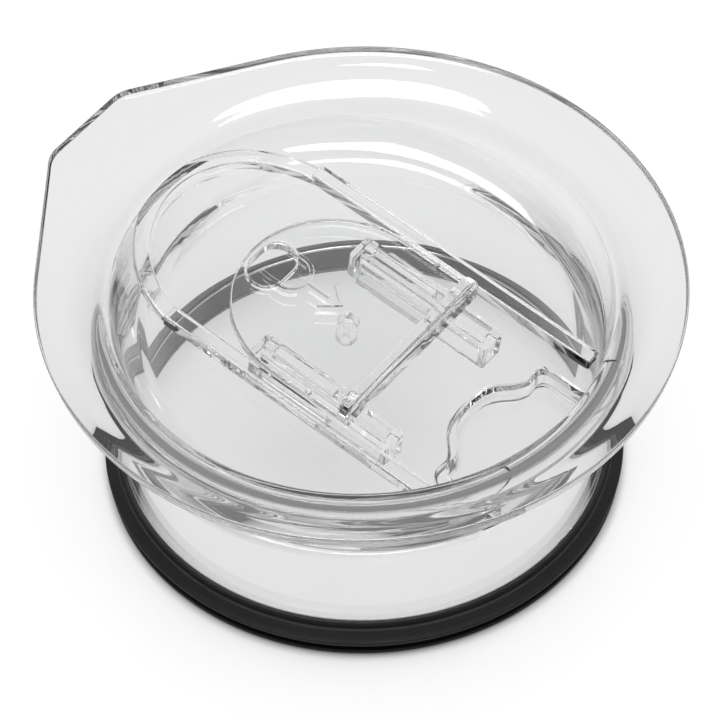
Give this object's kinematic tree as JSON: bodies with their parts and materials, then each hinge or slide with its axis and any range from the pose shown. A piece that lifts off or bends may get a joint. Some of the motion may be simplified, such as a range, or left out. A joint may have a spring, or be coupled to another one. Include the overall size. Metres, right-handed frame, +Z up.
{
  "type": "slide-to-open tumbler lid",
  "caption": "Clear round press-in lid with a pouring spout, a sliding cover with a finger bar over the drink opening, and a black two-fin silicone gasket.",
  "frame": {"origin": "on the plug's axis, at the level of the plug's foot, the face the lid rests on", "axes": "+X is the way the slider opens, away from the spout; +Z is up through the plug's axis"},
  "size_m": [0.1052, 0.1, 0.0403],
  "materials": {
    "clear_body": "polished clear moulded plastic",
    "clear_slider": "polished clear moulded plastic",
    "silicone": "matte moulded silicone"
  },
  "bodies": {
    "lid": {"rim": "clear_body", "spout": "clear_body", "plug_wall": "clear_body", "deck": "clear_body", "cove_left": "clear_body", "cove_right": "clear_body", "channel_end": "clear_body", "rail_left": "clear_body", "rail_right": "clear_body", "guide_left": "clear_body", "guide_right": "clear_body", "finger_pocket": "clear_body", "vent_tube": "clear_body", "gasket": "silicone"},
    "slider": {"slider_plate": "clear_slider", "slider_bar": "clear_slider", "slider_leg_left": "clear_slider", "slider_leg_right": "clear_slider"}
  },
  "joints": [
    {"name": "slider_slide", "type": "slide", "parent": "lid", "child": "slider", "axis": [0.9914, 0, -0.1305], "range_m": [0, 0.0102]}
  ]
}
